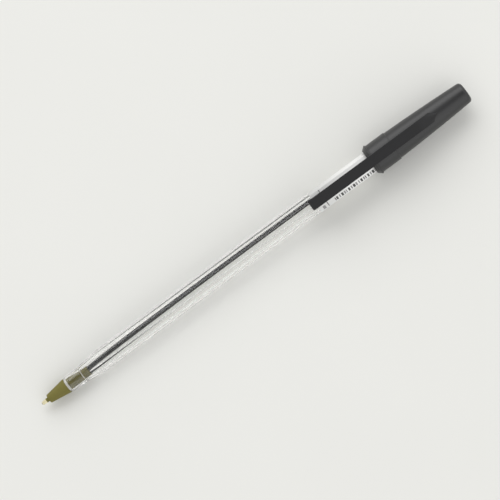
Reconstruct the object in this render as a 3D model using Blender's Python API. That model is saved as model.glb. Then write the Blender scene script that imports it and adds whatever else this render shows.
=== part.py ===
# A capped stick ballpoint pen: a clear six-sided barrel with a turned nose and an ink refill,
# and a cap with a long pocket clip, pushed onto the tail of the barrel.
# Metres, +Z up. The pen lies along +X with its writing point towards -X, on the plane z = 0.

import math

import bmesh
import bpy
from mathutils import Matrix

MM = 0.001

# Clearances
PRESS_GAP = 0.04 * MM  # radial, where one piece is pressed into another
FACE_GAP = 0.05 * MM  # between faces that seat on each other
BALL_GAP = 0.03 * MM  # running gap of the ball in its socket
CAP_GAP = 0.10 * MM  # between the cap's bore and the barrel's corners
REST_GAP = 0.05 * MM  # between the refill tube and the barrel wall that it leans on
INK_GAP = 0.03 * MM  # between the ink and the tube's bore
HINGE_GAP = 0.15 * MM  # at the flexing root of the clip
CLIP_PINCH_GAP = 0.15 * MM  # between the clip's pad and the barrel's corners
CLIP_BEAD_GAP = 0.27 * MM  # between the clip and the bead round the cap's mouth

# Ball and writing point
BALL_DIAMETER = 1.0 * MM
BALL_SHOWS = 0.3 * MM  # how far the ball stands out of its socket
POINT_LIP = 0.07 * MM  # wall of the lip that holds the ball
POINT_REACH = 2.9 * MM  # from the ball's front to the nose
POINT_STEM = 1.45 * MM  # diameter
POINT_COLLAR = 0.9 * MM  # length of bare stem in front of the nose
POINT_GRIP = 5.5 * MM  # length of stem inside the nose
INK_HOLE = 0.6 * MM  # diameter, through the point

# Refill
TUBE_OUTER = 2.63 * MM  # diameter
TUBE_WALL = 0.25 * MM
TUBE_GRIP = 5.0 * MM  # length of tube inside the nose
TUBE_END_ROOM = 8.0 * MM  # free room between the tube and the end plug
INK_END_ROOM = 6.0 * MM  # empty length of tube behind the ink
LEAN_RUN = 10.0 * MM  # length over which the tube has leant half of its way
LEAN_ANGLE = math.radians(28)  # from +Y, upwards

# Nose cone
CONE_LENGTH = 7.5 * MM
CONE_FRONT = 3.08 * MM  # diameter
CONE_EDGE = 0.25 * MM  # rounding of the front edge
SPIGOT_WALL = 0.35 * MM  # around the tube, behind the seat
SPIGOT_LENGTH = 2.9 * MM
SHANK_STEP = 0.22 * MM  # the shank's radius over the spigot's

# Barrel
BARREL_LENGTH = 133.6 * MM
BARREL_BORE = 5.86 * MM  # diameter
BARREL_WALL = 0.4 * MM  # at the middle of a flat
BARREL_CORNER_CUT = 0.17 * MM  # how far the rounding of a corner reaches along a flat
BARREL_TURN = math.radians(-6.6)  # of the flats about the pen, from a flat straight up towards +Y
MOUTH_WALL = 0.655 * MM  # around the nose's shank, at the front face
MOUTH_EDGE = 0.12 * MM  # chamfer at the front face
SEAT_DEPTH = 5.7 * MM  # length of the narrow bore that grips the shank
SEAT_SHOULDER = 0.35 * MM  # step behind the narrow bore
SEAT_SLOPE = 4.6 * MM  # length over which the bore widens behind the seat
TAPER_LENGTH = 11.5 * MM  # from the front face to the full six-sided section
TAPER_POWER = 1.4  # the taper grows steeper towards the six-sided section

# End plug
PLUG_DEPTH = 6.0 * MM
PLUG_HEAD = 1.0 * MM  # thickness
PLUG_RIM = 0.3 * MM  # the head's radius over the bore's
PLUG_VENT = 0.8 * MM  # diameter
PLUG_EDGE = 0.2 * MM

# Cap
CAP_LENGTH = 38.0 * MM
CAP_POSTED = 12.0 * MM  # length of barrel inside the cap
CAP_WALL = 1.19 * MM  # at the band
CAP_MOUTH_CHAMFER = 0.2 * MM
LIP_FACE = 0.28 * MM  # flat width of the lip
BEAD_HEIGHT = 0.35 * MM  # over the band
BEAD_FRONT = 0.95 * MM  # length of the slope from the lip to the crest
BEAD_CREST = 0.65 * MM  # length
BEAD_BACK = 0.25 * MM  # from the crest to the band
BAND_LENGTH = 9.0 * MM  # from the lip
BAND_STEP = 0.24 * MM
CAP_STOP = 0.35 * MM  # step in the bore that the barrel's end stands against
CAP_END_OUTER = 7.32 * MM  # diameter
CAP_SWELL = 0.125 * MM  # how far the long taper stands out of a straight one, at its middle
CAP_END_SIDE = 1.0 * MM  # side wall at the closed end
CAP_END_WALL = 1.5 * MM
CAP_END_EDGE = 1.2 * MM  # rounding of the closed end
CAP_TURN = math.radians(10)  # of the clip about the pen, from straight up towards -Y

# Pocket clip
CLIP_WIDTH = 3.65 * MM
CLIP_THICKNESS = 1.15 * MM
CLIP_REACH = 23.5 * MM  # past the cap's lip
CLIP_PAD_LENGTH = 5.0 * MM
CLIP_PAD_SETBACK = 0.6 * MM  # from the free end to the pad
CLIP_END_ROUND = 0.5 * MM
CLIP_EDGE = 0.2 * MM
CLIP_ROOT = 12.0 * MM  # from the closed end to where the root has sunk into the cap
ROOT_FALL = 7.0 * MM  # length over which the root sinks
ROOT_FLAT = 2.0 * MM  # length of root behind the flexing line

# Facets
ROUND_STEPS = 48
CAP_STEPS = 36
TUBE_STEPS = 20
POINT_STEPS = 28
TUBE_RINGS = 22
TAPER_STEPS = 6
WELD = 0.0005 * MM
OVERCUT = 1.0 * MM  # how far a cutter passes the face that it cuts
SMOOTH_ANGLE = math.radians(32)

# Radii worked out from the sizes above
HEX_ANGLE = math.radians(30)
tube_radius = TUBE_OUTER / 2
tube_bore_radius = tube_radius - TUBE_WALL
tube_seat_radius = tube_radius + PRESS_GAP
spigot_radius = tube_seat_radius + SPIGOT_WALL
shank_radius = spigot_radius + SHANK_STEP
seat_radius = shank_radius + PRESS_GAP
mouth_radius = seat_radius + MOUTH_WALL
bore_radius = BARREL_BORE / 2
flat_radius = bore_radius + BARREL_WALL
corner_round = BARREL_CORNER_CUT / math.tan(HEX_ANGLE)
corner_radius = flat_radius / math.cos(HEX_ANGLE) - corner_round * (1 / math.cos(HEX_ANGLE) - 1)
cap_bore_radius = corner_radius + CAP_GAP
cap_stop_radius = cap_bore_radius - CAP_STOP
band_radius = cap_bore_radius + CAP_WALL
bead_radius = band_radius + BEAD_HEIGHT
cap_end_radius = CAP_END_OUTER / 2
cap_end_bore = cap_end_radius - CAP_END_SIDE
clip_under = bead_radius + CLIP_BEAD_GAP
clip_top = clip_under + CLIP_THICKNESS
clip_middle = (clip_under + clip_top) / 2

# Places along the pen, from the front of the ball
ball_middle = BALL_DIAMETER / 2
nose_front = POINT_REACH
nose_base = nose_front + CONE_LENGTH
barrel_front = nose_base + FACE_GAP
barrel_rear = barrel_front + BARREL_LENGTH
seat_end = barrel_front + SEAT_DEPTH
spigot_end = seat_end + SPIGOT_LENGTH
stem_end = nose_front + POINT_GRIP
tube_front = spigot_end - TUBE_GRIP
plug_front = barrel_rear - PLUG_DEPTH
tube_rear = plug_front - TUBE_END_ROOM
ink_front = tube_front + FACE_GAP
ink_rear = tube_rear - INK_END_ROOM
cap_lip = barrel_rear - CAP_POSTED
cap_end = cap_lip + CAP_LENGTH
root_end = cap_end - CLIP_ROOT
clip_hinge = root_end - ROOT_FALL - ROOT_FLAT
clip_free_end = cap_lip - CLIP_REACH


def arc(radius, height, across, along, start, end, steps=6):
    """Points of an elliptic arc about (radius, height), between two angles from the +radius way."""
    angles = [start + (end - start) * step / steps for step in range(steps + 1)]
    return [(radius + across * math.cos(a), height + along * math.sin(a)) for a in angles]


def turned(outline, steps, closed=True):
    """The outline's (radius, height) points, spun about Z. An open outline ends on the axis."""
    bm = bmesh.new()
    points = [bm.verts.new((radius, 0, height)) for radius, height in outline]
    pairs = list(zip(points, points[1:]))
    if closed:
        pairs.append((points[-1], points[0]))
    edges = [bm.edges.new(pair) for pair in pairs]
    bmesh.ops.spin(bm, geom=points + edges, axis=(0, 0, 1), angle=math.tau, steps=steps, use_merge=True)
    bmesh.ops.remove_doubles(bm, verts=bm.verts, dist=WELD)
    return bm


def extruded(outline, width):
    """The outline's (height, out) points in the pen's Z and Y, as a bar across X."""
    bm = bmesh.new()
    side = bm.faces.new([bm.verts.new((-width / 2, out, height)) for height, out in outline])
    grown = bmesh.ops.extrude_face_region(bm, geom=[side])["geom"]
    moved = [item for item in grown if isinstance(item, bmesh.types.BMVert)]
    bmesh.ops.translate(bm, verts=moved, vec=(width, 0, 0))
    return bm


def round_edges(bm, chosen, offset, segments):
    edges = [edge for edge in bm.edges if chosen(*(vert.co for vert in edge.verts))]
    bmesh.ops.bevel(bm, geom=edges, offset=offset, segments=segments, profile=0.5,
                    affect="EDGES", clamp_overlap=True)


def material(name, colour, roughness, metallic=0.0, transmission=0.0):
    made = bpy.data.materials.new(name)
    made.use_nodes = True
    shader = made.node_tree.nodes["Principled BSDF"]
    shader.inputs["Base Color"].default_value = (*colour, 1)
    shader.inputs["Roughness"].default_value = roughness
    shader.inputs["Metallic"].default_value = metallic
    shader.inputs["Transmission Weight"].default_value = transmission
    return made


def add_empty(name, parent=None, location=(0, 0, 0)):
    empty = bpy.data.objects.new(name, None)
    empty.location = location
    empty.parent = parent
    bpy.context.collection.objects.link(empty)
    return empty


def add_object(name, bm, parent, surface=None, origin=(0, 0, 0)):
    """An object from a mesh in the parent's frame, with its own origin at the given point."""
    bmesh.ops.recalc_face_normals(bm, faces=bm.faces)
    mesh = bpy.data.meshes.new(name)
    bm.to_mesh(mesh)
    bm.free()
    mesh.transform(Matrix.Translation(origin).inverted())
    mesh.shade_smooth()
    mesh.set_sharp_from_angle(angle=SMOOTH_ANGLE)
    if surface:
        mesh.materials.append(surface)
    made = bpy.data.objects.new(name, mesh)
    made.location = origin
    made.parent = parent
    bpy.context.collection.objects.link(made)
    return made


def combine(target, name, bm, operation, origin=(0, 0, 0)):
    """Cut or join the target with a hidden helper shape."""
    helper = add_object(name, bm, target.parent, origin=origin)
    helper.hide_render = True
    helper.display_type = "WIRE"
    boolean = target.modifiers.new(name, "BOOLEAN")
    boolean.operation = operation
    boolean.object = helper


def lean(height):
    """How far the refill has leant sideways, from straight in the nose to lying on the bore's wall."""
    run = max(height - spigot_end, 0) / LEAN_RUN
    return (bore_radius - tube_radius - REST_GAP) * (1 - 1 / (1 + run * run))


def lean_over(bm):
    for vert in bm.verts:
        side = lean(vert.co.z)
        vert.co.x += side * math.cos(LEAN_ANGLE)
        vert.co.y += side * math.sin(LEAN_ANGLE)


def ring_heights(front, rear):
    """Heights that are close together where the refill bends, and far apart where it lies straight."""
    shares = [(ring / TUBE_RINGS) ** 2 for ring in range(TUBE_RINGS + 1)]
    return [front + (rear - front) * share for share in shares]


# Barrel: a six-sided bar, cut to a round taper in front and bored through

def barrel_bar():
    bm = bmesh.new()
    angles = [BARREL_TURN + math.tau * corner / 6 for corner in range(6)]
    sharp_radius = flat_radius / math.cos(HEX_ANGLE)
    end = bm.faces.new([bm.verts.new((sharp_radius * math.cos(a), sharp_radius * math.sin(a), barrel_front))
                        for a in angles])
    grown = bmesh.ops.extrude_face_region(bm, geom=[end])["geom"]
    moved = [item for item in grown if isinstance(item, bmesh.types.BMVert)]
    bmesh.ops.translate(bm, verts=moved, vec=(0, 0, BARREL_LENGTH))
    round_edges(bm, lambda a, b: abs(a.z - b.z) > BARREL_LENGTH / 2, BARREL_CORNER_CUT, 3)
    return bm


def barrel_taper():
    steps = 8
    front = mouth_radius - MOUTH_EDGE
    outline = [(0, barrel_front - OVERCUT), (front, barrel_front - OVERCUT), (front, barrel_front)]
    for step in range(steps + 1):
        share = step / steps
        radius = mouth_radius + (corner_radius + OVERCUT - mouth_radius) * share ** TAPER_POWER
        run = TAPER_LENGTH * (corner_radius + OVERCUT - mouth_radius) / (corner_radius - mouth_radius)
        outline.append((radius, barrel_front + MOUTH_EDGE + run * share))
    outline.append((corner_radius + OVERCUT, barrel_rear + OVERCUT))
    outline.append((0, barrel_rear + OVERCUT))
    return turned(outline, ROUND_STEPS, closed=False)


def barrel_bore():
    outline = [
        (0, barrel_front - OVERCUT),
        (seat_radius, barrel_front - OVERCUT),
        (seat_radius, seat_end),
        (seat_radius + SEAT_SHOULDER, seat_end + SEAT_SHOULDER),
        (bore_radius, seat_end + SEAT_SLOPE),
        (bore_radius, barrel_rear + OVERCUT),
        (0, barrel_rear + OVERCUT),
    ]
    return turned(outline, ROUND_STEPS, closed=False)


def build_barrel(pen):
    clear = material("clear_plastic", (0.93, 0.94, 0.92), 0.04, transmission=1.0)
    barrel = add_object("barrel", barrel_bar(), pen, clear)
    combine(barrel, "barrel_taper", barrel_taper(), "INTERSECT")
    combine(barrel, "barrel_bore", barrel_bore(), "DIFFERENCE")


# Nose cone with its shank and the spigot that grips the tube, and the point with its ball

def build_nose(pen):
    stem_seat = POINT_STEM / 2 + PRESS_GAP
    base_radius = mouth_radius - MOUTH_EDGE / 2
    front_radius = CONE_FRONT / 2
    outline = [
        (stem_seat, nose_front),
        *arc(front_radius - CONE_EDGE, nose_front + CONE_EDGE, CONE_EDGE, CONE_EDGE, -math.pi / 2, 0, 4),
        (base_radius, nose_base),
        (shank_radius, nose_base),
        (shank_radius, seat_end),
        (spigot_radius, seat_end + SHANK_STEP),
        (spigot_radius, spigot_end),
        (tube_seat_radius, spigot_end),
        (tube_seat_radius, tube_front - FACE_GAP),
        (stem_seat, tube_front - FACE_GAP),
    ]
    brass = material("olive_brass", (0.20, 0.17, 0.055), 0.35, metallic=0.6)
    add_object("nose_cone", turned(outline, ROUND_STEPS), pen, brass)


def build_point(pen):
    cup_radius = BALL_DIAMETER / 2 + BALL_GAP
    hole_radius = INK_HOLE / 2
    lip_angle = -math.asin((ball_middle - BALL_SHOWS) / cup_radius)
    hole_angle = math.acos(hole_radius / cup_radius)
    cup = arc(0, ball_middle, cup_radius, cup_radius, hole_angle, lip_angle)
    lip_radius, lip_height = cup[-1]
    outline = [
        (hole_radius, stem_end),
        *cup,
        (lip_radius + POINT_LIP, lip_height),
        (POINT_STEM / 2, nose_front - POINT_COLLAR),
        (POINT_STEM / 2, stem_end),
    ]
    pale = material("pale_brass", (0.72, 0.62, 0.36), 0.25, metallic=1.0)
    add_object("writing_point", turned(outline, POINT_STEPS), pen, pale)


def build_ball(pen):
    bm = bmesh.new()
    place = Matrix.Translation((0, 0, ball_middle))
    bmesh.ops.create_uvsphere(bm, u_segments=20, v_segments=12, radius=BALL_DIAMETER / 2, matrix=place)
    steel = material("ball_metal", (0.55, 0.55, 0.56), 0.15, metallic=1.0)
    add_object("writing_ball", bm, pen, steel, origin=(0, 0, ball_middle))


# Refill tube and the ink in it, both leaning over to the barrel's wall

def build_refill(pen):
    heights = ring_heights(tube_front, tube_rear)
    outer = [(tube_radius, height) for height in heights]
    inner = [(tube_bore_radius, height) for height in reversed(heights)]
    tube = turned(outer + inner, TUBE_STEPS)
    lean_over(tube)
    natural = material("natural_plastic", (0.85, 0.86, 0.84), 0.2, transmission=0.8)
    add_object("refill_tube", tube, pen, natural)


def build_ink(pen):
    ink_radius = tube_bore_radius - INK_GAP
    side = [(ink_radius, height) for height in ring_heights(ink_front, ink_rear)]
    ink = turned([(0, ink_front), *side, (0, ink_rear)], TUBE_STEPS, closed=False)
    lean_over(ink)
    black = material("black_ink", (0.012, 0.012, 0.013), 0.3)
    add_object("ink_column", ink, pen, black)


# End plug, with a vent that lets air in behind the ink

def build_plug(pen):
    stem = bore_radius - PRESS_GAP
    head = bore_radius + PLUG_RIM
    head_front = barrel_rear + FACE_GAP
    head_rear = head_front + PLUG_HEAD
    outline = [
        (PLUG_VENT / 2, plug_front),
        (stem - PLUG_EDGE, plug_front),
        (stem, plug_front + PLUG_EDGE),
        (stem, head_front),
        (head, head_front),
        (head, head_rear - PLUG_EDGE),
        (head - PLUG_EDGE, head_rear),
        (PLUG_VENT / 2, head_rear),
    ]
    dark = material("plug_plastic", (0.06, 0.06, 0.062), 0.4)
    add_object("end_plug", turned(outline, ROUND_STEPS), pen, dark)


# Cap: a tapered shell with a beaded mouth, a band, and the root that carries the clip

def cap_outer_radius(height):
    """Radius of the cap's long taper behind the band."""
    start = cap_lip + BAND_LENGTH
    share = (height - start) / (cap_end - CAP_END_EDGE - start)
    taper_radius = band_radius - BAND_STEP
    swell = 4 * CAP_SWELL * share * (1 - share)
    return taper_radius + (cap_end_radius - taper_radius) * share + swell


def cap_inner_radius(height):
    """Radius of the bore behind the step that stops the barrel."""
    start = cap_lip + CAP_POSTED
    share = (height - start) / (cap_end - CAP_END_WALL - start)
    return cap_stop_radius + (cap_end_bore - cap_stop_radius) * share


def cap_shell():
    quarter = math.pi / 2
    lip_radius = cap_bore_radius + CAP_MOUTH_CHAMFER + LIP_FACE
    crest = cap_lip + BEAD_FRONT
    crest_end = crest + BEAD_CREST
    band_end = cap_lip + BAND_LENGTH
    stop = cap_lip + CAP_POSTED + FACE_GAP
    end_middle = cap_end_radius - CAP_END_EDGE
    taper_end = cap_end - CAP_END_EDGE
    taper = [band_end + (taper_end - band_end) * step / TAPER_STEPS for step in range(TAPER_STEPS)]
    outline = [
        (lip_radius, cap_lip),
        (bead_radius, crest),
        (bead_radius, crest_end),
        (band_radius, crest_end + BEAD_BACK),
        (band_radius, band_end - BAND_STEP),
        *[(cap_outer_radius(height), height) for height in taper],
        *arc(end_middle, taper_end, CAP_END_EDGE, CAP_END_EDGE, 0, quarter),
        (0, cap_end),
        (0, cap_end - CAP_END_WALL),
        (cap_end_bore, cap_end - CAP_END_WALL),
        (cap_stop_radius, stop),
        (cap_bore_radius, stop),
        (cap_bore_radius, cap_lip + CAP_MOUTH_CHAMFER),
        (cap_bore_radius + CAP_MOUTH_CHAMFER, cap_lip),
    ]
    # The outline meets the axis twice, so the shell is two open runs joined at the lip
    axis_top = outline.index((0, cap_end))
    run = outline[axis_top + 1:] + outline[:axis_top + 1]
    return turned(run, CAP_STEPS, closed=False)


def root_bottom(height):
    """Half way into the wall under the clip's root, so that the root joins the shell all over."""
    outer_edge = math.sqrt(cap_outer_radius(height) ** 2 - (CLIP_WIDTH / 2) ** 2)
    return (outer_edge + cap_inner_radius(height)) / 2


def root_block():
    """The bar that rises out of the cap and carries the clip."""
    steps = 10
    sunk = root_bottom(root_end)
    top = [(clip_hinge, clip_top)]
    for step in range(steps):
        share = step / steps
        drop = (clip_top - sunk) * (1 - math.cos(math.pi * share)) / 2
        top.append((clip_hinge + ROOT_FLAT + ROOT_FALL * share, clip_top - drop))
    outline = [*top, (root_end, sunk), (clip_hinge, root_bottom(clip_hinge))]
    return extruded(outline, CLIP_WIDTH)


def build_cap(cap_axis):
    charcoal = material("charcoal_plastic", (0.055, 0.055, 0.057), 0.5)
    origin = (0, 0, cap_lip)
    cap = add_object("cap", cap_shell(), cap_axis, charcoal, origin)
    combine(cap, "clip_root", root_block(), "UNION", origin)


# Pocket clip: a flat springy bar with a pad under its free end

def build_clip(hinge):
    pad_middle = clip_free_end + CLIP_PAD_SETBACK + CLIP_PAD_LENGTH / 2
    pad_depth = clip_under - corner_radius - CLIP_PINCH_GAP
    pad = arc(pad_middle, clip_under, CLIP_PAD_LENGTH / 2, pad_depth, math.tau, math.pi, 10)
    root_face = clip_hinge - HINGE_GAP
    outline = [
        (clip_free_end, clip_top),
        (root_face, clip_top),
        (root_face, clip_under),
        *pad,
        (clip_free_end, clip_under),
    ]
    bm = extruded(outline, CLIP_WIDTH)
    tiny = WELD

    def at_free_end(a, b):
        return max(a.z, b.z) < clip_free_end + tiny and abs(a.y - b.y) > CLIP_THICKNESS / 2

    def on_top(a, b):
        return min(a.y, b.y) > clip_top - tiny and min(a.z, b.z) < root_face - tiny

    round_edges(bm, at_free_end, CLIP_END_ROUND, 4)
    round_edges(bm, on_top, CLIP_EDGE, 2)
    bmesh.ops.translate(bm, verts=bm.verts, vec=(0, -clip_middle, -clip_hinge))
    charcoal = material("clip_plastic", (0.045, 0.045, 0.047), 0.5)
    add_object("pocket_clip", bm, hinge, charcoal)


def main():
    for stray in list(bpy.data.objects):
        bpy.data.objects.remove(stray, do_unlink=True)
    # The pen is modelled upright on its point: its Z becomes +X, its X becomes +Y and its Y becomes +Z
    pen = add_empty("pen_axis", location=(-cap_end / 2, 0, bead_radius))
    pen.rotation_euler = (math.pi / 2, 0, math.pi / 2)
    cap_axis = add_empty("cap_axis", pen)
    cap_axis.rotation_euler = (0, 0, CAP_TURN)
    hinge = add_empty("clip_hinge", cap_axis, (0, clip_middle, clip_hinge))
    build_barrel(pen)
    build_nose(pen)
    build_point(pen)
    build_ball(pen)
    build_refill(pen)
    build_ink(pen)
    build_plug(pen)
    build_cap(cap_axis)
    build_clip(hinge)


main()
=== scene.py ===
# Dresses the stick pen: clear barrel, refill, brass nose, printed band and the posted cap
import math
import bmesh
import bpy
from mathutils import Matrix, Vector


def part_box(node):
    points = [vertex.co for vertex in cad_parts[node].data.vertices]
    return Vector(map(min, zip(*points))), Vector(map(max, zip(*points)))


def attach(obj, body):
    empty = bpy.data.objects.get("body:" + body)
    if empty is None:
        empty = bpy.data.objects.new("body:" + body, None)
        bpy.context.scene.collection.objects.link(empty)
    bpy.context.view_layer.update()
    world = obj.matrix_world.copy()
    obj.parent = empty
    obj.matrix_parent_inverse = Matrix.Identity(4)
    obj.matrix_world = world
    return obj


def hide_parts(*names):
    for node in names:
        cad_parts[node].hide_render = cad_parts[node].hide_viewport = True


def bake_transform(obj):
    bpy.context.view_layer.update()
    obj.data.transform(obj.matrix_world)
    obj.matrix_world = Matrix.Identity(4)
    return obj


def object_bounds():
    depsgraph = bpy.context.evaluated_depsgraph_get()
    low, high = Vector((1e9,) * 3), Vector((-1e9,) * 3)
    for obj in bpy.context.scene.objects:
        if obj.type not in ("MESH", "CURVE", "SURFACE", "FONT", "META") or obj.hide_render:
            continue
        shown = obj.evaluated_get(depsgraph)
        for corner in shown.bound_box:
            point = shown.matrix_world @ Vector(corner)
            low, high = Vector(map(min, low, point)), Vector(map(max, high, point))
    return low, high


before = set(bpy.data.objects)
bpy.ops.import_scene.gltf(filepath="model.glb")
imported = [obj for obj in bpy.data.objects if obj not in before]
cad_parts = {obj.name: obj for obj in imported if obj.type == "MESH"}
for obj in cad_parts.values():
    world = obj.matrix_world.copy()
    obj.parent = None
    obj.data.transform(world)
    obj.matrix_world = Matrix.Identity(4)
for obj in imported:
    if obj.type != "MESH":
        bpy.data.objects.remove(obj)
cadLow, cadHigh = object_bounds()
mm = 0.001
penFront = cadLow[0]                                       # x at the front of the ball
penAxis = (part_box("cap")[1][1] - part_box("cap")[0][1]) / 2  # height of the pen's middle line
print("frame loaded, pen is", round((cadHigh[0] - cadLow[0]) / mm, 1), "mm long")


# Shader sums: a wire is one socket, and sums on wires add Math nodes
class Wire:
    def __init__(self, tree, socket=None):
        self.tree = tree
        self.socket = socket

    def make(self, kind, settings={}, inputs={}, out=0):
        node = self.tree.nodes.new(kind)
        for name, value in settings.items():
            if name == "stops":
                ramp = node.color_ramp.elements
                while len(ramp) < len(value):
                    ramp.new(1)
                for stop, (place, shade) in zip(ramp, value):
                    stop.position = place
                    stop.color = (*shade, 1)
            else:
                setattr(node, name, value)
        for name, value in inputs.items():
            if isinstance(value, Wire):
                self.tree.links.new(value.socket, node.inputs[name])
            else:
                node.inputs[name].default_value = value
        return None if out is None else Wire(self.tree, node.outputs[out])

    def sums(self, operation, first, second):
        return self.make("ShaderNodeMath", {"operation": operation}, {0: first, 1: second})

    def __add__(self, other):
        return self.sums("ADD", self, other)

    def __radd__(self, other):
        return self.sums("ADD", other, self)

    def __mul__(self, other):
        return self.sums("MULTIPLY", self, other)

    def __rmul__(self, other):
        return self.sums("MULTIPLY", other, self)


def newMaterial(name):
    made = bpy.data.materials.new(name)
    made.use_nodes = True
    made.node_tree.nodes.clear()
    tree = Wire(made.node_tree)
    place = tree.make("ShaderNodeTexCoord", out="Object")
    return made, tree, place


def principled(tree, inputs):
    return tree.make("ShaderNodeBsdfPrincipled", {}, inputs)


def closeMaterial(tree, surface):
    tree.make("ShaderNodeOutputMaterial", {}, {"Surface": surface}, None)


def noise(tree, place, size, detail=3):                    # size in mm
    return tree.make("ShaderNodeTexNoise", {}, {"Vector": place, "Scale": 1 / (size * mm), "Detail": detail}, "Fac")


def twoTone(tree, fac, first, second):                     # a tone is three numbers or a wire
    first, second = [tone if isinstance(tone, Wire) else (*tone, 1) for tone in (first, second)]
    return tree.make("ShaderNodeMix", {"data_type": "RGBA"}, {0: fac, 6: first, 7: second}, 2)


def bump(tree, height, depth, strength):                   # depth in mm
    return tree.make("ShaderNodeBump", {}, {"Height": height, "Distance": depth * mm, "Strength": strength})


def lightPasses(tree, glass, share):                       # part of the light goes straight on, so the shadow is pale
    through = tree.make("ShaderNodeBsdfTransparent", {}, {"Color": (share, share, share, 1)})
    shadowRay = tree.make("ShaderNodeLightPath", out="Is Shadow Ray")
    return tree.make("ShaderNodeMixShader", {}, {0: shadowRay, 1: glass, 2: through})


# Finishes. Sizes of haze, wear and grain are in mm, and the noise adds up to roughMore to rough
clearFinish = dict(tint=(0.998, 0.998, 0.992), haze=6, rough=0.005, roughMore=0.02, ior=1.49)
tubeFinish = dict(tint=(0.96, 0.965, 0.95), haze=4, rough=0.03, roughMore=0.04, ior=1.40)


def clearPlastic(name, f, share):
    made, tree, place = newMaterial(name)
    haze = noise(tree, place, f["haze"])
    glass = principled(tree, {
        "Base Color": (*f["tint"], 1), "Roughness": f["rough"] + haze * f["roughMore"], "IOR": f["ior"],
        "Transmission Weight": 1.0})
    closeMaterial(tree, lightPasses(tree, glass, share))
    return made


frostFinish = dict(tint=(0.82, 0.81, 0.76), haze=1.5, rough=0.5, roughMore=0.2, ior=1.58, clear=0.5)


def frostedStep():
    f = frostFinish
    made, tree, place = newMaterial("frostedStep")
    haze = noise(tree, place, f["haze"])
    closeMaterial(tree, principled(tree, {
        "Base Color": (*f["tint"], 1), "Roughness": f["rough"] + haze * f["roughMore"], "IOR": f["ior"],
        "Transmission Weight": f["clear"]}))
    return made


inkFinish = dict(dark=(0.006, 0.006, 0.007), light=(0.016, 0.016, 0.017), flow=5, rough=0.25, roughMore=0.1)


def blackInk():
    f = inkFinish
    made, tree, place = newMaterial("blackInk")
    flow = noise(tree, place, f["flow"])
    closeMaterial(tree, principled(tree, {
        "Base Color": twoTone(tree, flow, f["dark"], f["light"]), "Roughness": f["rough"] + flow * f["roughMore"],
        "Specular IOR Level": 0.0}))
    return made


# Brass tones are (dark, light); the shank's pair is the cone's brass painted darker, as painted shade under the
# barrel
brassFinish = dict(cone=((0.165, 0.148, 0.035), (0.195, 0.173, 0.05)),
                   shank=((0.095, 0.083, 0.02), (0.125, 0.11, 0.03)),
                   tarnish=2.5, metal=0.1, rough=0.55, roughMore=0.14, sheen=0.2,
                   lathe=3, latheDetail=2, latheStretch=(40, 1, 1), latheDeep=0.01, latheStrength=0.35)


def oliveBrass(name, dark, light):
    f = brassFinish
    made, tree, place = newMaterial(name)
    tarnish = noise(tree, place, f["tarnish"])
    stretched = tree.make("ShaderNodeMapping", {}, {"Vector": place, "Scale": f["latheStretch"]})
    lathe = noise(tree, stretched, f["lathe"], f["latheDetail"])
    closeMaterial(tree, principled(tree, {
        "Base Color": twoTone(tree, tarnish, dark, light), "Metallic": f["metal"],
        "Roughness": f["rough"] + tarnish * f["roughMore"], "Specular IOR Level": f["sheen"],
        "Normal": bump(tree, lathe, f["latheDeep"], f["latheStrength"])}))
    return made


pointFinish = dict(dark=(0.74, 0.67, 0.41), light=(0.85, 0.79, 0.56), wear=0.8, rough=0.22, roughMore=0.14)
ballFinish = dict(dark=(0.50, 0.50, 0.51), light=(0.62, 0.62, 0.63), wear=0.3, rough=0.12, roughMore=0.1)


def brightMetal(name, f):
    made, tree, place = newMaterial(name)
    wear = noise(tree, place, f["wear"])
    closeMaterial(tree, principled(tree, {
        "Base Color": twoTone(tree, wear, f["dark"], f["light"]), "Metallic": 1.0,
        "Roughness": f["rough"] + wear * f["roughMore"]}))
    return made


# Moulded pieces have (dark, light, sheen)
mouldFinish = dict(plug=((0.022, 0.022, 0.023), (0.03, 0.03, 0.031), 0.5),
                   cap=((0.021, 0.021, 0.022), (0.026, 0.026, 0.027), 0.5),
                   clip=((0.029, 0.029, 0.03), (0.033, 0.033, 0.034), 0.12),
                   cloud=9, cloudDetail=2, grain=0.35, grainDetail=4, grainDeep=0.012, grainStrength=0.4,
                   rough=0.3, cloudRough=0.06, grainRough=0.04)


def charcoalPlastic(name, dark, light, sheen):
    f = mouldFinish
    made, tree, place = newMaterial(name)
    grain = noise(tree, place, f["grain"], f["grainDetail"])
    cloud = noise(tree, place, f["cloud"], f["cloudDetail"])
    closeMaterial(tree, principled(tree, {
        "Base Color": twoTone(tree, cloud, dark, light),
        "Roughness": f["rough"] + cloud * f["cloudRough"] + grain * f["grainRough"], "Specular IOR Level": sheen,
        "Normal": bump(tree, grain, f["grainDeep"], f["grainStrength"])}))
    return made


# Mesh helpers. An outline is (along, radius) in mm, along counted from the front of the ball
crisp = 30                                                 # degrees past which an edge stays sharp on most pieces
tinyGap = 1e-8                                             # points closer than this become one


def finishPiece(name, bm, finish, body, angle=38):
    mesh = bpy.data.meshes.new(name)
    bm.to_mesh(mesh)
    bm.free()
    mesh.shade_smooth()
    mesh.set_sharp_from_angle(angle=math.radians(angle))
    mesh.materials.append(finish)
    piece = bpy.data.objects.new(name, mesh)
    bpy.context.scene.collection.objects.link(piece)
    if body:
        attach(piece, body)
    return piece


def arc(along, radius, runAlong, runOut, start, end, steps):
    turns = [math.radians(start + (end - start) * k / steps) for k in range(steps + 1)]
    return [(along + runAlong * math.cos(a), radius + runOut * math.sin(a)) for a in turns]


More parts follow.
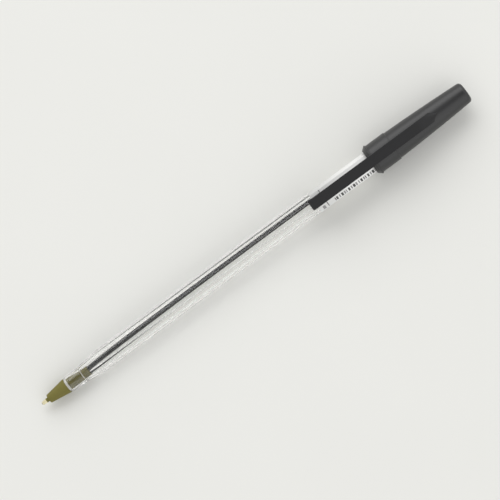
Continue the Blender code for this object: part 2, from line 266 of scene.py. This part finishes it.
def turn(outline, steps, closed=True):
    bm = bmesh.new()
    verts = [bm.verts.new((penFront + along * mm, 0, penAxis + radius * mm)) for along, radius in outline]
    pairs = list(zip(verts, verts[1:])) + ([(verts[-1], verts[0])] if closed else [])
    edges = [bm.edges.new(pair) for pair in pairs]
    bmesh.ops.spin(bm, geom=verts + edges, cent=(0, 0, penAxis), axis=(1, 0, 0), angle=math.tau, steps=steps,
                   use_merge=True, use_duplicate=False)
    bmesh.ops.remove_doubles(bm, verts=bm.verts, dist=tinyGap)
    bmesh.ops.recalc_face_normals(bm, faces=bm.faces)
    return bm


def cutAcross(bm, place, facing):                          # adds a row of edges where a plane crosses the mesh
    bmesh.ops.bisect_plane(bm, geom=bm.verts[:] + bm.edges[:] + bm.faces[:], plane_co=place, plane_no=facing)


halfFlat, wholeFlat = 30, 60                               # degrees to a flat's corner, and to the next flat


def pressFlats(bm, lift=0):                                # a turned bar becomes six-sided wherever it is larger
    b = barrelSizes
    half = math.radians(halfFlat)
    flat, rounding = b["flat"] + lift, b["rounding"] + lift
    inner = flat - rounding
    flatEnd = math.atan(inner * math.tan(half) / flat)
    for vert in bm.verts:
        out = Vector((vert.co.y, vert.co.z - penAxis))
        radius = out.length / mm
        facing = math.atan2(out.y, out.x)
        side = round((facing - half) / math.radians(wholeFlat))
        off = facing - math.radians(halfFlat + wholeFlat * side)
        share = abs(off) / half
        if share < 0.5:                                    # half of the steps lie on the flats, half on the corners
            new = flatEnd * share * 2
            reach = flat / math.cos(new)
        else:
            new = flatEnd + (half - flatEnd) * (share * 2 - 1)
            aside, far = half - new, inner / math.cos(half)
            reach = far * math.cos(aside) + math.sqrt(rounding ** 2 - (far * math.sin(aside)) ** 2)
        facing = math.radians(halfFlat + wholeFlat * side + b["turnBy"]) + math.copysign(new, off)
        along = (vert.co.x - penFront) / mm
        grown = min(max((along - b["roundEnd"]) / (b["hexStart"] - b["roundEnd"]), 0), 1)
        grown *= grown * (3 - 2 * grown)                   # the flats fade out towards the round mouth
        atMouth = along < b["roundEnd"] + b["mouthRun"] and radius > b["mouth"] - b["mouthDeep"]
        if radius > b["bore"] + b["boreClear"] or atMouth:
            radius *= 1 - grown * (1 - reach / b["corner"])
        radius = min(radius, reach) * mm
        vert.co.y = radius * math.cos(facing)
        vert.co.z = penAxis + radius * math.sin(facing)


# Barrel
barrelSizes = dict(front=10.45, rear=144.05, rearEdge=0.15, mouth=2.62, mouthRun=4, mouthDeep=0.2, edge=0.12,
                   taper=11.5, power=1.4, taperOver=1.0, taperSteps=90, corner=3.83, spare=0.1, flat=3.33,
                   rounding=0.1, turnBy=-6.6, roundEnd=12.5, hexStart=18.5, ease=(0.5, 2), bore=2.95, boreEase=1,
                   boreClear=0.01, seat=1.965, seatEnd=16.5, shoulder=0.35, slope=6.0, lead=0.75, leadDeep=0.3,
                   steps=192, frostReach=0.9, lightShare=1.0, farShare=0.45, farAside=-0.5, farDown=-0.05, farOut=0.6)


def makeBarrel():
    b = barrelSizes
    outline = [(b["front"], b["mouth"] - b["edge"])]
    bar = b["corner"] + b["spare"]                         # turned a little larger than the corners, then pressed
    grow = b["corner"] + b["taperOver"] - b["mouth"]       # the taper runs on past the corners, as it was cut
    run = b["taper"] * grow / (b["corner"] - b["mouth"])
    steps = b["taperSteps"]
    for k in range(steps + 1):
        radius = b["mouth"] + grow * (k / steps) ** b["power"]
        outline.append((b["front"] + b["edge"] + run * k / steps, min(radius, bar)))
        if radius > bar:
            break
    last = outline[-1][0]
    outline += [(last + ease, bar) for ease in b["ease"]]  # short rings keep the long faces from shading the taper
    outline += [(b["rear"] - b["rearEdge"], bar), (b["rear"], b["corner"] - b["rearEdge"]), (b["rear"], b["bore"])]
    outline += [(b["seatEnd"] + b["slope"] + b["boreEase"], b["bore"]), (b["seatEnd"] + b["slope"], b["bore"])]
    outline += [(b["seatEnd"] + b["shoulder"], b["seat"] + b["shoulder"]), (b["seatEnd"], b["seat"])]
    outline += [(b["front"] + b["lead"], b["seat"]), (b["front"], b["seat"] + b["leadDeep"])]
    bm = turn(outline, b["steps"])
    for face in bm.faces:                                  # the steps in the bore are left frosted by the mould
        middle = face.calc_center_median()
        along = (middle.x - penFront) / mm
        deep = math.hypot(middle.y, middle.z - penAxis) / mm < b["seat"] + b["shoulder"] * b["frostReach"]
        atShoulder = b["seatEnd"] < along < b["seatEnd"] + b["shoulder"]
        atLead = b["front"] < along < b["front"] + b["lead"]
        face.material_index = 1 if deep and (atShoulder or atLead) else 0
    pressFlats(bm)
    bm.normal_update()
    for face in bm.faces:                                  # less light leaves the lower side turned from the window
        lowFar = face.normal.y < b["farAside"] and face.normal.z < b["farDown"]
        outside = face.calc_center_median().y < -b["bore"] * mm * b["farOut"]
        if lowFar and outside and face.material_index == 0:
            face.material_index = 2
    barrel = finishPiece("barrelClear", bm, clearPlastic("clearPlastic", clearFinish, b["lightShare"]), "pen", crisp)
    barrel.data.materials.append(frostedStep())
    barrel.data.materials.append(clearPlastic("clearFarSide", clearFinish, b["farShare"]))
    keepFlats = barrel.modifiers.new("keepFlats", "WEIGHTED_NORMAL")   # flats shade flat up to their round edges
    keepFlats.keep_sharp = True
    keepFlats.weight = 100
    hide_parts("barrel")


# Refill: the tube leans over to the barrel's wall, with its bore wet with ink
refillSizes = dict(front=14.05, rear=130.05, inkRear=124.05, inkDish=0.4, outer=1.25, bore=0.87, wetGap=0.01,
                   inkGap=0.02, straightEnd=19.05, bend=0.3, bendRun=2.2, lean=1.35, leanRun=26.0, leanAngle=14,
                   rings=80, ringPower=1.7, steps=64, inkSteps=48, lightShare=0.95)


def leanOver(bm):
    r = refillSizes
    sideways = Vector((0, math.cos(math.radians(r["leanAngle"])), math.sin(math.radians(r["leanAngle"]))))
    for vert in bm.verts:
        run = max((vert.co.x - penFront) / mm - r["straightEnd"], 0)
        bent = r["bend"] * (1 - math.exp(-run / r["bendRun"]))
        leant = r["lean"] * (1 - math.exp(-run / r["leanRun"]))
        vert.co += sideways * mm * (bent + leant)


def refillRings(radius, end):                              # closer together in front, where the tube bends
    r = refillSizes
    shares = [(k / r["rings"]) ** r["ringPower"] for k in range(r["rings"] + 1)]
    return [(r["front"] + (end - r["front"]) * share, radius) for share in shares]


def makeRefill():
    r = refillSizes
    wet = refillRings(r["bore"], r["inkRear"])
    bm = turn(refillRings(r["outer"], r["rear"]) + [(r["rear"], r["bore"])] + wet[::-1], r["steps"])
    for face in bm.faces:
        middle = face.calc_center_median()
        low = math.hypot(middle.y, middle.z - penAxis) < (r["bore"] + r["wetGap"]) * mm
        face.material_index = 1 if low and middle.x < penFront + r["inkRear"] * mm else 0
    leanOver(bm)
    tube = finishPiece("refillTube", bm, clearPlastic("naturalTube", tubeFinish, r["lightShare"]), "pen")
    ink = blackInk()
    tube.data.materials.append(ink)
    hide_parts("refill_tube")
    column = refillRings(r["bore"] - r["inkGap"], r["inkRear"])
    bm = turn([(r["front"], 0)] + column + [(r["inkRear"] - r["inkDish"], 0)], r["inkSteps"], closed=False)
    leanOver(bm)
    inkColumn = finishPiece("inkColumn", bm, ink, "pen")
    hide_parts("ink_column")


# Nose: turned cone, shank and spigot, with the point and its ball
noseSizes = dict(front=2.9, frontRadius=1.54, edge=0.25, edgeSteps=6, base=10.4, baseRadius=2.56, shank=1.925,
                 shankEnd=16.15, spigot=1.705, spigotEnd=19.05, stemSeat=0.765, tubeSeat=1.29, tubeEnd=14.0,
                 rim=0.12, cut=0.1, steps=128)


def makeNose():
    n = noseSizes
    edge, rim, cut = n["edge"], n["rim"], n["cut"]
    outline = [(n["front"], n["stemSeat"])]
    outline += arc(n["front"] + edge, n["frontRadius"] - edge, edge, edge, 180, 90, n["edgeSteps"])
    outline += [(n["base"] - rim, n["baseRadius"]), (n["base"], n["baseRadius"] - cut), (n["base"], n["shank"])]
    outline += [(n["shankEnd"] - cut, n["shank"]), (n["shankEnd"] + rim, n["spigot"])]
    outline += [(n["spigotEnd"] - cut, n["spigot"]), (n["spigotEnd"], n["spigot"] - cut)]
    outline += [(n["spigotEnd"], n["tubeSeat"]), (n["tubeEnd"], n["tubeSeat"]), (n["tubeEnd"], n["stemSeat"])]
    bm = turn(outline, n["steps"])
    for face in bm.faces:                                  # the shank inside the barrel gets the brass painted darker than the cone, as painted shade under the barrel
        face.material_index = 1 if face.calc_center_median().x > penFront + n["base"] * mm else 0
    nose = finishPiece("noseCone", bm, oliveBrass("oliveBrass", *brassFinish["cone"]), "pen", crisp)
    nose.data.materials.append(oliveBrass("shadedBrass", *brassFinish["shank"]))
    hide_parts("nose_cone")


pointSizes = dict(ball=0.5, ballRound=48, ballRings=32, shows=0.3, gap=0.03, cupSteps=10, lip=0.07, lipFace=0.6,
                  lipRun=0.06, stem=0.725, stemEnd=8.4, collar=2.0, collarEdge=0.05, collarDrop=0.02, hole=0.3,
                  steps=72)


def makePoint():
    p = pointSizes
    cup = p["ball"] + p["gap"]
    lipAngle = 90 + math.degrees(math.asin((p["ball"] - p["shows"]) / cup))
    holeAngle = math.degrees(math.asin(p["hole"] / cup))
    inside = arc(p["ball"], 0, cup, cup, holeAngle, lipAngle, p["cupSteps"])
    lipAlong, lipRadius = inside[-1]
    outline = [(p["stemEnd"], p["hole"])] + inside
    outline += [(lipAlong, lipRadius + p["lip"] * p["lipFace"]), (lipAlong + p["lipRun"], lipRadius + p["lip"])]
    outline += [(p["collar"] - p["collarEdge"], p["stem"] - p["collarDrop"])]
    outline += [(p["collar"] + p["collarEdge"], p["stem"]), (p["stemEnd"], p["stem"])]
    bm = turn(outline, p["steps"])
    for face in bm.faces:                                  # the stem behind the bright tip takes the nose's darker brass, painted shade at the joint
        face.material_index = 1 if face.calc_center_median().x > penFront + p["collar"] * mm else 0
    point = finishPiece("writingPoint", bm, brightMetal("paleBrass", pointFinish), "pen")
    point.data.materials.append(bpy.data.materials["oliveBrass"])
    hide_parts("writing_point")
    bm = bmesh.new()
    bmesh.ops.create_uvsphere(bm, u_segments=p["ballRound"], v_segments=p["ballRings"], radius=p["ball"] * mm,
                              matrix=Matrix.Translation((penFront + p["ball"] * mm, 0, penAxis)))
    ball = finishPiece("writingBall", bm, brightMetal("ballMetal", ballFinish), "ball", 180)
    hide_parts("writing_ball")


# End plug, hidden in the posted cap
plugSizes = dict(front=138.05, headFront=144.1, headRear=145.1, stem=2.91, head=3.23, vent=0.4, ventEdge=0.1,
                 edge=0.2, edgeSteps=5, steps=96)


def makePlug():
    p = plugSizes
    edge = p["edge"]
    outline = [(p["front"], p["vent"]), (p["front"], p["stem"] - edge), (p["front"] + edge, p["stem"])]
    outline += [(p["headFront"], p["stem"]), (p["headFront"], p["head"])]
    outline += arc(p["headRear"] - edge, p["head"] - edge, edge, edge, 90, 0, p["edgeSteps"])
    outline += [(p["headRear"], p["vent"] + p["ventEdge"]), (p["headRear"] - p["ventEdge"], p["vent"])]
    bm = turn(outline, p["steps"])
    plug = finishPiece("endPlug", bm, charcoalPlastic("plugPlastic", *mouldFinish["plug"]), "pen")
    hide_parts("end_plug")


# Printed band: a white film with a thin ring and a row of plain bars
# The first two tones paint the film lighter on the side turned from the window and darker on the side facing it, as
# painted light and shade
printFinish = dict(paintedShadedSide=(0.93, 0.93, 0.92), paintedLitSide=(0.8, 0.8, 0.79), reach=3, reachShare=0.9, mottle=1.2,
                   mottleShare=0.1, rough=0.5, roughMore=0.1, sheen=0.25)


def whitePrint():
    f = printFinish
    made, tree, place = newMaterial("whitePrint")
    mottle = noise(tree, place, f["mottle"])
    side = tree.make("ShaderNodeSeparateXYZ", {}, {0: place}, "Y")
    paintedLitSide = tree.make("ShaderNodeMapRange", {},
                     {"Value": side, "From Min": -f["reach"] * mm, "From Max": f["reach"] * mm})
    paintedSideAndMottle = paintedLitSide * f["reachShare"] + mottle * f["mottleShare"]      # painted light and shade: lighter on the side turned from the window, darker on the side facing it, with the film's own mottle
    closeMaterial(tree, principled(tree, {
        "Base Color": twoTone(tree, paintedSideAndMottle, f["paintedShadedSide"], f["paintedLitSide"]),
        "Roughness": f["rough"] + mottle * f["roughMore"], "Specular IOR Level": f["sheen"]}))
    return made


# Mark tones are (dark, light)
markFinish = dict(dark=((0.05, 0.05, 0.05), (0.09, 0.09, 0.09)), grey=((0.26, 0.26, 0.26), (0.36, 0.36, 0.36)),
                  blotch=0.3, rough=0.55)


def markInk(name, dark, light):
    made, tree, place = newMaterial(name)
    colour = twoTone(tree, noise(tree, place, markFinish["blotch"]), dark, light)
    closeMaterial(tree, principled(tree, {"Base Color": colour, "Roughness": markFinish["rough"]}))
    return made


# Faces are in degrees round the barrel, and the last three numbers keep the row of bars uneven
printSizes = dict(start=110.1, end=141.0, spare=0.2, lift=0.005, film=0.02, topFace=90, barFace=150, ring=113.4,
                  ringWide=0.24, ringInset=0.12, markTall=0.012, spot=111.85, spotWide=1.0, barsFrom=116.1,
                  barsTo=131.9, barLow=0.2, barHigh=1.6, barWide=0.28, barMore=0.5, gapWide=0.25, gapMore=0.4,
                  darkShare=0.45, wideStep=0.618, toneStep=0.387, gapStep=0.754)


def addMark(bm, side, along, wide, low, high, tone):       # a flat bar of ink on one side of the barrel
    p, b = printSizes, barrelSizes
    facing = Matrix.Rotation(math.radians(b["turnBy"] + side), 4, "X")
    out = b["flat"] + p["lift"] + p["film"] + p["markTall"] / 2
    place = Matrix.Translation((penFront + along * mm, 0, penAxis)) @ facing
    place @= Matrix.Translation((0, out * mm, (low + high) / 2 * mm))
    place @= Matrix.Diagonal((wide * mm, p["markTall"] * mm, (high - low) * mm, 1))
    made = bmesh.ops.create_cube(bm, size=1, matrix=place)["verts"]
    for face in {face for vert in made for face in vert.link_faces}:
        face.material_index = tone


def makePrint():
    p, b = printSizes, barrelSizes
    sleeve = b["corner"] + p["spare"]
    bm = turn([(p["start"], sleeve), (p["end"], sleeve)], b["steps"], closed=False)
    pressFlats(bm, p["lift"])
    bmesh.ops.recalc_face_normals(bm, faces=bm.faces)
    band = finishPiece("printedBand", bm, whitePrint(), "pen", crisp)
    film = band.modifiers.new("film", "SOLIDIFY")
    film.thickness, film.offset = p["film"] * mm, 1
    half = b["flat"] * math.tan(math.radians(halfFlat)) - p["ringInset"]
    dark, grey = 0, 1                                      # the two inks, by their slot on the piece
    bm = bmesh.new()
    addMark(bm, p["topFace"], p["ring"], p["ringWide"], -half, half, dark)
    addMark(bm, p["barFace"], p["ring"], p["ringWide"], -half, p["barHigh"], dark)
    addMark(bm, p["barFace"], p["spot"], p["spotWide"], p["barLow"], p["barHigh"], grey)
    along, count = p["barsFrom"], 0
    while along < p["barsTo"]:
        wide = p["barWide"] + p["barMore"] * (count * p["wideStep"] % 1)
        tone = dark if count * p["toneStep"] % 1 < p["darkShare"] else grey
        addMark(bm, p["barFace"], along + wide / 2, wide, p["barLow"], p["barHigh"], tone)
        along += wide + p["gapWide"] + p["gapMore"] * (count * p["gapStep"] % 1)
        count += 1
    marks = finishPiece("printMarks", bm, markInk("darkMark", *markFinish["dark"]), "pen", crisp)
    marks.data.materials.append(markInk("greyMark", *markFinish["grey"]))


# Cap shell
capSizes = dict(lip=132.05, lipRadius=4.38, lipEdge=0.06, lipRun=0.05, end=170.05, bore=3.9, chamfer=0.2, stop=12.05,
                stopRadius=3.55, stopEdge=0.1, bead=5.44, beadSlope=1.25, beadCrest=0.3, beadBack=0.4, beadRound=0.12,
                footShare=0.6, footRise=0.05, footRun=0.1, band=5.09, bandEnd=9.0, wornFrom=0.3, wornTo=0.2,
                wornDeep=0.03, step=0.24, stepEdge=0.02, endRadius=3.66, endEdge=1.2, endBore=2.66, endWall=1.5,
                innerEdge=0.3, swell=0.125, turnBy=10, taperSteps=16, edgeSteps=12, steps=144)


def capRadius(along):                                      # the long taper, which swells a little at its middle
    c = capSizes
    share = (along - c["lip"] - c["bandEnd"]) / (c["end"] - c["endEdge"] - c["lip"] - c["bandEnd"])
    start = c["band"] - c["step"]
    return start + (c["endRadius"] - start) * share + 4 * c["swell"] * share * (1 - share)


def makeCap():
    c = capSizes
    lip, end, bead, band, tiny = c["lip"], c["end"], c["bead"], c["band"], c["beadRound"]
    inner, stop = end - c["endWall"], lip + c["stop"]
    crest = lip + c["beadSlope"]
    crestEnd = crest + c["beadCrest"]
    bandEnd = lip + c["bandEnd"]
    taperEnd = end - c["endEdge"]
    outline = [(inner, 0), (inner, c["endBore"] - c["innerEdge"]), (inner - c["innerEdge"], c["endBore"])]
    outline += [(stop + c["stopEdge"], c["stopRadius"]), (stop, c["stopRadius"] + c["stopEdge"]), (stop, c["bore"])]
    outline += [(lip + c["chamfer"], c["bore"]), (lip, c["bore"] + c["chamfer"])]
    outline += [(lip, c["lipRadius"] - c["lipEdge"]), (lip + c["lipRun"], c["lipRadius"])]
    outline += [(crest - tiny, bead - tiny), (crest - tiny / 3, bead - tiny / 4), (crest + tiny, bead)]
    outline += [(crestEnd - tiny, bead), (crestEnd, bead - tiny / 3)]
    outline += [(crestEnd + c["beadBack"] * c["footShare"], band + c["footRise"])]
    outline += [(crestEnd + c["beadBack"] + c["footRun"], band)]
    outline += [(bandEnd - c["wornFrom"], band), (bandEnd - c["wornTo"], band - c["wornDeep"])]
    outline += [(bandEnd - c["stepEdge"], band - c["step"] + c["stepEdge"])]
    for k in range(c["taperSteps"]):
        along = bandEnd + (taperEnd - bandEnd) * k / c["taperSteps"]
        outline.append((along, capRadius(along)))
    outline += arc(taperEnd, c["endRadius"] - c["endEdge"], c["endEdge"], c["endEdge"], 90, 0, c["edgeSteps"])
    outline += [(end, 0)]
    bm = turn(outline, c["steps"], closed=False)
    cap = finishPiece("capShell", bm, charcoalPlastic("capPlastic", *mouldFinish["cap"]), "cap", crisp)
    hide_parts("cap")


# Clip: one moulding with the cap, so its root sinks into the shell and it bends there
clipSizes = dict(free=108.55, hinge=149.05, rootFlat=0.5, rootFall=13.0, rootSteps=16, rootDeep=0.2, crown=3.0,
                 crownPower=3, crownCuts=9, crownWide=0.4, crownClear=0.02, under=5.71, top=6.86, width=3.65,
                 sunk=3.45, padSetback=0.6, padLength=5.0, padDepth=1.76, padSteps=14, endRound=0.5, endSteps=5,
                 edge=0.2, edgeSteps=3, edgeAngle=50, edgeClear=0.05, slotRound=0.7, slotSteps=6, bendCuts=14,
                 bendFrom=9, blendRear=1, blendFront=5)


def rootDrop(share):                                       # how far the root has sunk, from 0 to 1
    return (1 - math.cos(math.pi * share)) / 2


def makeClip():
    c = clipSizes
    slot, padHalf = c["slotRound"], c["padLength"] / 2
    rootStart = c["hinge"] + c["rootFlat"]
    outline = [(c["free"], c["top"]), (rootStart, c["top"])]
    for k in range(1, c["rootSteps"] + 1):
        share = k / c["rootSteps"]
        outline.append((rootStart + c["rootFall"] * share, c["top"] - (c["top"] - c["sunk"]) * rootDrop(share)))
    outline += [(rootStart + c["rootFall"], c["sunk"] - c["rootDeep"]), (c["hinge"], c["sunk"])]
    outline += arc(c["hinge"] - slot, c["under"] - slot, slot, slot, 0, 90, c["slotSteps"])
    outline += arc(c["free"] + c["padSetback"] + padHalf, c["under"], padHalf, -c["padDepth"], 0, 180, c["padSteps"])
    outline += [(c["free"], c["under"])]
    bm = bmesh.new()
    side = bm.faces.new([bm.verts.new((penFront + along * mm, -c["width"] / 2 * mm, penAxis + out * mm))
                         for along, out in outline])
    grown = bmesh.ops.extrude_face_region(bm, geom=[side])["geom"]
    farSide = [v for v in grown if isinstance(v, bmesh.types.BMVert)]
    bmesh.ops.translate(bm, verts=farSide, vec=(0, c["width"] * mm, 0))
    freeX, tiny, tall = penFront + c["free"] * mm, 1e-6, 0.5 * mm
    corners = [e for e in bm.edges if all(v.co.x < freeX + tiny for v in e.verts)
               and abs(e.verts[0].co.z - e.verts[1].co.z) > tall]
    bmesh.ops.bevel(bm, geom=corners, offset=c["endRound"] * mm, affect="EDGES", segments=c["endSteps"],
                    profile=0.5, material=-1)
    rim = [e for e in bm.edges if len(e.link_faces) == 2 and e.calc_face_angle(0) > math.radians(c["edgeAngle"])
           and min(v.co.z for v in e.verts) > penAxis + (c["sunk"] + c["edgeClear"]) * mm]
    bmesh.ops.bevel(bm, geom=rim, offset=c["edge"] * mm, affect="EDGES", segments=c["edgeSteps"],
                    profile=0.5, material=-1)
    for k in range(c["bendCuts"]):
        cutAcross(bm, (penFront + (c["hinge"] - c["bendFrom"] + k) * mm, 0, 0), (1, 0, 0))
    for k in range(c["crownCuts"]):
        aside = (k / (c["crownCuts"] // 2) - 1) * c["width"] * c["crownWide"] * mm
        cutAcross(bm, (0, aside, 0), (0, 1, 0))
    lowest = penAxis + (c["sunk"] + c["crownClear"]) * mm
    for vert in bm.verts:                                  # the root is crowned, so its sides sink into the cap first
        along = (vert.co.x - penFront) / mm - c["hinge"] - c["rootFlat"]
        if along > 0 and vert.co.z > lowest:
            fall = rootDrop(min(along / c["rootFall"], 1))
            vert.co.z = max(vert.co.z - c["crown"] * fall ** c["crownPower"] * (vert.co.y / mm) ** 2 * mm, lowest)
    bmesh.ops.recalc_face_normals(bm, faces=bm.faces)
    turned = Matrix.Rotation(math.radians(capSizes["turnBy"]), 3, "X")
    bmesh.ops.rotate(bm, verts=bm.verts, cent=(0, 0, penAxis), matrix=turned)
    clip = finishPiece("clipBlade", bm, charcoalPlastic("clipPlastic", *mouldFinish["clip"]), None, crisp)
    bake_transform(clip)
    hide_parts("pocket_clip")


# Floor: it slopes, because the pen lies on the bead and the barrel's front
floorSizes = dict(size=1.1, touchRear=133.3, touchFront=19.5, gap=2.12)
floorFinish = dict(dark=(0.785, 0.785, 0.757), light=(0.805, 0.805, 0.777), cloud=60, cloudDetail=2, rough=0.9)


def makeFloor():
    s, f = floorSizes, floorFinish
    bm = bmesh.new()
    bmesh.ops.create_grid(bm, x_segments=1, y_segments=1, size=s["size"])
    slope = math.atan(s["gap"] / (s["touchRear"] - s["touchFront"]))
    bmesh.ops.rotate(bm, verts=bm.verts, matrix=Matrix.Rotation(slope, 3, "Y"))
    bmesh.ops.translate(bm, verts=bm.verts, vec=(penFront + s["touchRear"] * mm, 0, 0))
    made, tree, place = newMaterial("paleFloor")
    cloud = noise(tree, place, f["cloud"], f["cloudDetail"])
    closeMaterial(tree, principled(tree, {
        "Base Color": twoTone(tree, cloud, f["dark"], f["light"]), "Roughness": f["rough"],
        "Specular IOR Level": 0.0}))
    floor = finishPiece("floor", bm, made, None)


# Room light: tones of the sky by height, then what each side mixes in as (axis, from, to, tone)
roomSizes = dict(sky=[(0, (0.72, 0.72, 0.71)), (0.2, (1.09, 1.09, 1.08)), (0.82, (1.09, 1.09, 1.08)),
                      (0.96, (0.2, 0.2, 0.2))],
                 wall=("Y", -0.3, -0.75, (1.3, 1.3, 1.29)), front=("X", -0.4, -0.8, (0.5, 0.5, 0.5)),
                 rear=("X", 0.4, 0.8, (0.85, 0.85, 0.85)))
windowSizes = dict(place=(0.825, 2.175, 1.9), aim=(0, 0, 0), size=(3.55, 2.375), power=41.25)


def addLamp(name, place, aim, size, power):
    data = bpy.data.lights.new(name, "AREA")
    data.shape = "RECTANGLE"
    data.size, data.size_y = size
    data.energy = power
    lamp = bpy.data.objects.new(name, data)
    lamp.location = place
    lamp.rotation_euler = (Vector(aim) - Vector(place)).to_track_quat("-Z", "Y").to_euler()
    bpy.context.scene.collection.objects.link(lamp)


def makeLight():
    world = bpy.data.worlds.new("roomLight")
    bpy.context.scene.world = world
    world.use_nodes = True
    tree = Wire(world.node_tree)
    world.node_tree.nodes.clear()
    facing = tree.make("ShaderNodeTexCoord", out="Generated")
    height = tree.make("ShaderNodeSeparateXYZ", {}, {0: facing}, "Z")
    colour = tree.make("ShaderNodeValToRGB", {"stops": roomSizes["sky"]}, {0: height})
    for name in ("wall", "front", "rear"):
        axis, start, full, tone = roomSizes[name]
        reach = tree.make("ShaderNodeSeparateXYZ", {}, {0: facing}, axis)
        share = tree.make("ShaderNodeMapRange", {}, {"Value": reach, "From Min": start, "From Max": full})
        colour = twoTone(tree, share, colour, tone)
    sky = tree.make("ShaderNodeBackground", {}, {"Color": colour, "Strength": 1.0})
    tree.make("ShaderNodeOutputWorld", {}, {"Surface": sky}, None)
    addLamp("windowLight", **windowSizes)


# Camera: tilts and roll in degrees, distance in metres, aim in mm
cameraSizes = dict(tiltAlong=3.8, tiltAside=9.0, distance=0.65, roll=35.82, aim=(-0.745, 0.166), lens=145.32)


def makeCamera():
    c = cameraSizes
    out = Vector((math.sin(math.radians(c["tiltAlong"])), -math.sin(math.radians(c["tiltAside"])), 0))
    out.z = math.sqrt(1 - out.length_squared)
    right = (-out).cross(Vector((0, 1, 0))).normalized()
    up = right.cross(-out)
    facing = Matrix((right, up, out)).transposed() @ Matrix.Rotation(-math.radians(c["roll"]), 3, "Z")
    data = bpy.data.cameras.new("photoCamera")
    data.lens = c["lens"]
    data.clip_start = 0.01
    camera = bpy.data.objects.new("photoCamera", data)
    aim = Vector((c["aim"][0] * mm, c["aim"][1] * mm, penAxis))
    camera.matrix_world = Matrix.Translation(aim + out * c["distance"]) @ facing.to_4x4()
    bpy.context.scene.collection.objects.link(camera)
    bpy.context.scene.camera = camera


makeBarrel()
makeRefill()
makeNose()
makePoint()
makePlug()
makePrint()
print("pen made")
makeCap()
makeClip()
print("cap and clip made")
makeFloor()
makeLight()
makeCamera()
bpy.context.scene.view_settings.view_transform = "Standard"
paths = bpy.context.scene.cycles                           # light turns back many times inside the clear wall
paths.max_bounces, paths.glossy_bounces, paths.transmission_bounces = 20, 12, 16
print("stage made")
